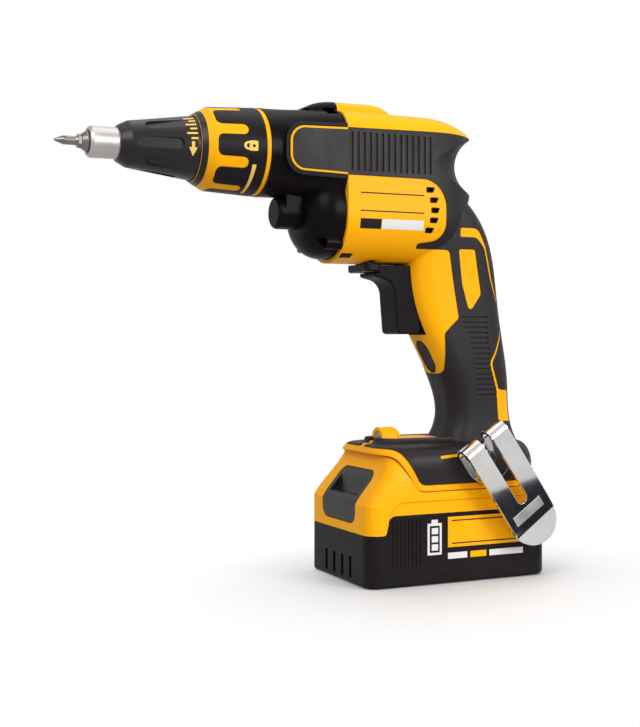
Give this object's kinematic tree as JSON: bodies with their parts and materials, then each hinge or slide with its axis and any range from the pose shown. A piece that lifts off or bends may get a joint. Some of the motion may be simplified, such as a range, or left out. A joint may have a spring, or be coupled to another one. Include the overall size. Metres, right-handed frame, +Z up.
{
  "type": "cordless drywall screwdriver",
  "caption": "Pistol-grip cordless screwdriver with a depth-setting collar, pull-off nose cone, trigger, belt hook and slide-on battery pack.",
  "frame": {"origin": "centre of the battery pack's flat base", "axes": "+Z up from the base the tool stands on, the bit points along -X, and the belt hook is on the -Y side"},
  "size_m": [0.2781, 0.088, 0.266],
  "materials": {
    "yellow_plastic": "satin moulded",
    "black_plastic": "fine spark-eroded texture",
    "grip_rubber": "matt with fine ribs",
    "case_metal": "black coated, satin",
    "machined_steel": "satin, turned",
    "hook_chrome": "bright",
    "bit_steel": "dark satin",
    "screw_steel": "blackened",
    "bronze": "sintered",
    "magnet": "dull grey",
    "iron_core": "laminated",
    "copper_coil": "lacquered wire",
    "inner_plastic": "moulded",
    "clear_lens": "clear",
    "board": "solder resist",
    "terminal_copper": "plated",
    "cell_steel": "sleeved"
  },
  "bodies": {
    "housing": {"left_housing": "yellow_plastic", "right_housing": "yellow_plastic", "left_skin": "grip_rubber", "right_skin": "grip_rubber", "gear_case": "case_metal", "gear_case_screws": "screw_steel", "index_ring": "yellow_plastic", "gear_plate": "machined_steel", "tail_bush": "bronze", "spindle_bush": "bronze", "idler_pin": "machined_steel", "stator_core": "iron_core", "stator_coils": "copper_coil", "motor_bearings": "machined_steel", "switch_module": "inner_plastic", "motor_controller": "inner_plastic", "light_lens": "clear_lens", "light_board": "board", "terminal_block": "inner_plastic", "tool_terminals": "terminal_copper", "belt_hook": "hook_chrome", "belt_hook_screw": "screw_steel", "housing_screws": "screw_steel", "trigger_spring": "machined_steel"},
    "rotor": {"rotor_shaft": "machined_steel", "rotor_core": "iron_core", "rotor_magnets": "magnet", "cooling_fan": "inner_plastic", "motor_pinion": "machined_steel"},
    "idler": {"idler_gear": "machined_steel"},
    "drive": {"drive_gear": "machined_steel"},
    "thrust": {"thrust_washer": "machined_steel", "clutch_spring": "machined_steel"},
    "spindle": {"spindle": "machined_steel", "bit_holder": "machined_steel", "bit_magnet": "magnet", "driver_bit": "bit_steel"},
    "collar": {"collar_core": "yellow_plastic", "collar_grip": "black_plastic"},
    "carrier": {"depth_carrier": "inner_plastic"},
    "cone": {"nose_cone": "black_plastic", "nosepiece": "machined_steel"},
    "trigger": {"trigger": "black_plastic"},
    "reverse": {"reverse_button": "black_plastic"},
    "lock": {"lock_button": "black_plastic"},
    "pack": {"pack_lower_case": "black_plastic", "pack_upper_case": "yellow_plastic", "battery_cells": "cell_steel", "cell_holder": "inner_plastic", "pack_board": "board", "pack_terminals": "terminal_copper", "pack_screws": "screw_steel", "release_spring": "machined_steel"},
    "release": {"release_button": "black_plastic"}
  },
  "joints": [
    {"name": "rotor_spin", "type": "hinge", "parent": "housing", "child": "rotor", "pos_m": [0, 0, 0.20395], "axis": [1, 0, 0], "continuous": true},
    {"name": "idler_spin", "type": "hinge", "parent": "housing", "child": "idler", "pos_m": [0, 0, 0.21295], "axis": [1, 0, 0], "continuous": true},
    {"name": "drive_spin", "type": "hinge", "parent": "housing", "child": "drive", "pos_m": [0, 0, 0.2362], "axis": [1, 0, 0], "continuous": true},
    {"name": "spindle_push", "type": "slide", "parent": "housing", "child": "thrust", "axis": [1, 0, 0], "range_m": [0, 0.004], "stiffness_N_per_m": 1500, "springref_m": -0.004, "deforming": ["clutch_spring"]},
    {"name": "spindle_spin", "type": "hinge", "parent": "thrust", "child": "spindle", "pos_m": [0, 0, 0.2362], "axis": [1, 0, 0], "continuous": true},
    {"name": "collar_turn", "type": "hinge", "parent": "housing", "child": "collar", "pos_m": [0, 0, 0.2362], "axis": [1, 0, 0], "range_deg": [-360, 360]},
    {"name": "depth_set", "type": "slide", "parent": "housing", "child": "carrier", "axis": [1, 0, 0], "range_m": [-0.004, 0.004]},
    {"name": "cone_pull", "type": "slide", "parent": "carrier", "child": "cone", "axis": [-1, 0, 0], "range_m": [0, 0.082]},
    {"name": "trigger_pull", "type": "slide", "parent": "housing", "child": "trigger", "axis": [1, 0, 0], "range_m": [0, 0.006], "stiffness_N_per_m": 900, "springref_m": -0.003, "deforming": ["trigger_spring"]},
    {"name": "reverse_shift", "type": "slide", "parent": "housing", "child": "reverse", "axis": [0, 1, 0], "range_m": [-0.003, 0.003]},
    {"name": "lock_press", "type": "slide", "parent": "housing", "child": "lock", "axis": [1, 0, 0], "range_m": [0, 0.003], "stiffness_N_per_m": 800, "springref_m": -0.002},
    {"name": "pack_slide", "type": "slide", "parent": "housing", "child": "pack", "axis": [-1, 0, 0], "range_m": [0, 0.1]},
    {"name": "release_press", "type": "slide", "parent": "pack", "child": "release", "axis": [1, 0, 0], "range_m": [0, 0.003], "stiffness_N_per_m": 1000, "springref_m": -0.003, "deforming": ["release_spring"]}
  ],
  "couplings": [
    {"joint": "idler_spin", "follows": "rotor_spin", "ratio": -1},
    {"joint": "drive_spin", "follows": "rotor_spin", "ratio": 0.24},
    {"joint": "depth_set", "follows": "collar_turn", "m_per_rad": 0.00063662}
  ]
}
